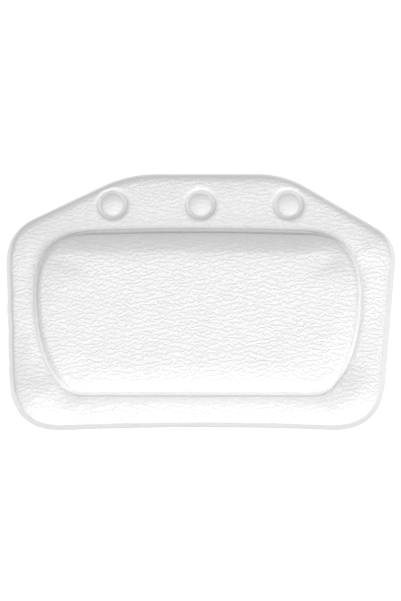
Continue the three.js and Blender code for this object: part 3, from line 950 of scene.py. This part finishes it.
patches = add_node(vinyl, "ShaderNodeTexNoise", {
    "Vector": coordinates.outputs["Object"], "Scale": 1 / (PATCH_SIZE * MM), "Detail": 1.0})
choice = add_node(vinyl, "ShaderNodeMapRange", {
    "Value": patches.outputs["Fac"],
    "From Min": 0.46, "From Max": 0.54}, interpolation_type="SMOOTHSTEP")
furrow = add_node(vinyl, "ShaderNodeMix", {
    "Factor": choice.outputs["Result"],
    "A": wavy_lines(FURROW_LEAN), "B": wavy_lines(-FURROW_LEAN)})
print("furrows", FURROW_SPACING, "mm apart")

# %% Embossed vinyl
# The weld grey is the bands' colour, and painted shade along the seam's top and on the domes.
VINYL_WHITE, VINYL_FURROW, VINYL_WELD_AND_SHADE = linear("#F4F4F4"), linear("#F0F0F0"), linear("#E2E2E2")
grain = add_node(vinyl, "ShaderNodeAttribute", attribute_name="grain")
weld = add_node(vinyl, "ShaderNodeAttribute", attribute_name="weld")
centred = add_node(vinyl, "ShaderNodeMath", {
    0: furrow.outputs["Result"], 1: 0.5}, operation="SUBTRACT")
relief = add_node(vinyl, "ShaderNodeMath", {
    0: centred.outputs["Value"], 1: grain.outputs["Fac"]}, operation="MULTIPLY")
panel_colour = mixed_colour(vinyl, furrow.outputs["Result"], VINYL_WHITE, VINYL_FURROW)
dress([front_cover], vinyl, {
    "Base Color": mixed_colour(vinyl, weld.outputs["Fac"], panel_colour, VINYL_WELD_AND_SHADE),
    "Roughness": 0.5, "IOR": VINYL_IOR,
    "Normal": bumped(vinyl, relief.outputs["Value"], FURROW_DEPTH, invert=True)})

# %% [markdown]
# ## Plain vinyl
# The back sheet and the washers are smooth but for the fine pebble of the calender's rollers, and a
# little cloudy, as thin white sheet is. Two noises of different size give both.

# %% Plain vinyl
BACK_WHITE, BACK_CLOUD, BACK_WELD = linear("#F0F0EE"), linear("#E8E8E5"), linear("#E0E0DD")
PEBBLE_SIZE, PEBBLE_HEIGHT, CLOUD_SIZE = 1.2, 0.06, 35.0
backing = new_material("white_pvc_calendered")
coordinates = add_node(backing, "ShaderNodeTexCoord")
weld = add_node(backing, "ShaderNodeAttribute", attribute_name="weld")
pebble, cloud = (
    add_node(backing, "ShaderNodeTexNoise", {
        "Vector": coordinates.outputs["Object"], "Scale": 1 / (size * MM), "Detail": 2.0})
    for size in (PEBBLE_SIZE, CLOUD_SIZE))
panel_colour = mixed_colour(backing, cloud.outputs["Fac"], BACK_WHITE, BACK_CLOUD)
dress([back_sheet, *washers], backing, {
    "Base Color": mixed_colour(backing, weld.outputs["Fac"], panel_colour, BACK_WELD),
    "Roughness": 0.42, "IOR": VINYL_IOR,
    "Normal": bumped(backing, pebble.outputs["Fac"], PEBBLE_HEIGHT)})

# %% [markdown]
# ## Foam and clear vinyl
# Cut foam shows its cells, which a cell texture draws: pale on the walls, and darker in the pores as
# painted shade.
# The cups are clear and glossy. Their colour deepens and their gloss dulls a little where the melt
# flowed last, so one noise drives both.

# %% Foam
# The pore colour is painted shade in the cells' hollows.
FOAM_PORE_SHADE, FOAM_WALL = linear("#D8CFB4"), linear("#F6F1E2")
FOAM_CELL, FOAM_CELL_DEPTH = 1.5, 0.5
foam = new_material("polyurethane_foam_cut")
coordinates = add_node(foam, "ShaderNodeTexCoord")
cells = add_node(foam, "ShaderNodeTexVoronoi", {
    "Vector": coordinates.outputs["Object"], "Scale": 1 / (FOAM_CELL * MM)})
dress([cushion_foam, flange_foam, *dome_pads], foam, {
    "Base Color": mixed_colour(foam, cells.outputs["Distance"], FOAM_PORE_SHADE, FOAM_WALL),
    "Roughness": 0.95, "Normal": bumped(foam, cells.outputs["Distance"], FOAM_CELL_DEPTH)})

# %% Clear vinyl
CLEAR_PALE, CLEAR_DEEP = linear("#F2F6F7"), linear("#E4ECEE")
FLOW_SIZE = 9.0
clear = new_material("clear_pvc_moulded")
coordinates = add_node(clear, "ShaderNodeTexCoord")
flow = add_node(clear, "ShaderNodeTexNoise", {
    "Vector": coordinates.outputs["Object"], "Scale": 1 / (FLOW_SIZE * MM), "Detail": 1.0})
haze = add_node(clear, "ShaderNodeMapRange", {
    "Value": flow.outputs["Fac"], "To Min": 0.06, "To Max": 0.16})
dress(cups, clear, {
    "Base Color": mixed_colour(clear, flow.outputs["Fac"], CLEAR_PALE, CLEAR_DEEP),
    "Roughness": haze.outputs["Result"], "IOR": VINYL_IOR, "Transmission Weight": 0.92})

# %% [markdown]
# ## Wall and light
# The pillow is stuck to a pale wall by its cups. The wall shows white to the eye and keeps the soft
# shadow, and it lets the light of the surroundings through, so the back is lit too and can be seen
# from behind. A large soft lamp stands below and in front, a little to the right. A second one rakes
# along the sheet from further below: it brings out the grain, and the cushion keeps its light off
# the flange above it. Two weak ones fill the front and light the back.

# %% Wall
WALL_SIZE, WALL_GAP = 4000.0, 0.5
bpy.ops.object.select_all(action="DESELECT")
bpy.ops.mesh.primitive_plane_add(size=WALL_SIZE * MM)
wall = bpy.context.object
wall.name = "pale_wall"
bpy.ops.object.mode_set(mode="EDIT")
bpy.ops.mesh.select_all(action="SELECT")
bpy.ops.transform.rotate(value=math.radians(-90), orient_axis="X", center_override=(0, 0, 0))
bpy.ops.transform.translate(value=(0, cad_high.y + WALL_GAP * MM, 0))
bpy.ops.object.mode_set(mode="OBJECT")
print("wall faces", [round(n, 2) for n in wall.data.polygons[0].normal])

# %% Wall paint
WALL_GREY, WALL_GLOW = linear("#BBBBBB"), 0.68


def seen_by_eye(owner):
    """1 for rays from the camera, also by way of a mirror or through something clear, and else 0."""
    path = add_node(owner, "ShaderNodeLightPath")
    direct = add_node(owner, "ShaderNodeMath", {
        0: path.outputs["Is Camera Ray"], 1: path.outputs["Is Glossy Ray"]}, operation="MAXIMUM")
    seen = add_node(owner, "ShaderNodeMath", {
        0: direct.outputs["Value"], 1: path.outputs["Is Transmission Ray"]}, operation="MAXIMUM")
    return seen.outputs["Value"]


paint = new_material("pale_wall_paint")
facing = add_node(paint, "ShaderNodeNewGeometry")
in_front = add_node(paint, "ShaderNodeMath", {
    0: seen_by_eye(paint), 1: facing.outputs["Backfacing"]}, operation="SUBTRACT", use_clamp=True)
matt = add_node(paint, "ShaderNodeBsdfDiffuse", {"Color": WALL_GREY})
glow = add_node(paint, "ShaderNodeEmission", {"Strength": WALL_GLOW})
solid = add_node(paint, "ShaderNodeAddShader", {
    0: matt.outputs["BSDF"], 1: glow.outputs["Emission"]})
nothing = add_node(paint, "ShaderNodeBsdfTransparent")
mixed = add_node(paint, "ShaderNodeMixShader", {
    "Fac": in_front.outputs["Value"], 1: nothing.outputs["BSDF"], 2: solid.outputs["Shader"]})
add_node(paint, "ShaderNodeOutputMaterial", {"Surface": mixed.outputs["Shader"]})
wall.data.materials.append(paint)
print("wall paint:", len(paint.node_tree.nodes), "nodes")

# %% Light of the surroundings
AMBIENT = 0.58
world = bpy.data.worlds.new("soft_surroundings")
bpy.context.scene.world = world
world.use_nodes = True
world.node_tree.nodes.clear()
strength = add_node(world, "ShaderNodeMapRange", {
    "Value": seen_by_eye(world), "To Min": AMBIENT, "To Max": 1.0})
sky = add_node(world, "ShaderNodeBackground", {
    "Strength": strength.outputs["Result"], "Color": linear("#FFFFFF")})
add_node(world, "ShaderNodeOutputWorld", {"Surface": sky.outputs["Background"]})
bpy.context.scene.view_settings.view_transform = "Standard"
print("surroundings:", len(world.node_tree.nodes), "nodes")

# %% Lamps
def soft_lamp(name, way, distance, width, height, power):
    """A lamp that faces the pillow from a way and a distance, with sizes in metres, power in watts."""
    data = bpy.data.lights.new(name, "AREA")
    data.shape = "RECTANGLE"
    data.size, data.size_y = width, height
    data.energy = power
    lamp = bpy.data.objects.new(name, data)
    bpy.context.scene.collection.objects.link(lamp)
    towards = Vector(way).normalized()
    lamp.location = sight_point + towards * distance
    lamp.rotation_mode = "QUATERNION"
    lamp.rotation_quaternion = towards.to_track_quat("Z", "Y")
    print(name, power, "W")


soft_lamp("key_lamp", way=(0.25, -0.70, -0.66), distance=2.2, width=1.8, height=1.5, power=21.5)
soft_lamp("raking_lamp", way=(0.16, -0.30, -0.93), distance=2.2, width=1.2, height=1.4, power=17.5)
soft_lamp("front_lamp", way=(0.0, -1.0, -0.1), distance=1.6, width=1.4, height=1.4, power=3.3)
soft_lamp("back_lamp", way=(0.1, 1.0, 0.25), distance=1.3, width=1.0, height=1.0, power=5.0)

# %% [markdown]
# ## Which body each piece rides on
# Each piece rides on the body it belongs to and stands for its solid in the frame, which is hidden.

# %% Bodies, and the frame's solids hidden
for piece, node, slot in [
    (front_cover, "front_cover", "cover_vinyl"),
    (back_sheet, "back_cover", "back_vinyl"),
    (cushion_foam, "cushion_core", "foam"),
    (flange_foam, "flange_pad", "foam"),
]:
    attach(piece, "pillow")
    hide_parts(node)
for side, cup, washer, pad in zip(SIDES, cups, washers, dome_pads):
    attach(cup, f"cup_{side}")
    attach(washer, "pillow")
    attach(pad, "pillow")
    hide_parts(f"suction_cup_{side}")
    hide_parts(f"eyelet_ring_{side}")
    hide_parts(f"dome_pad_{side}")
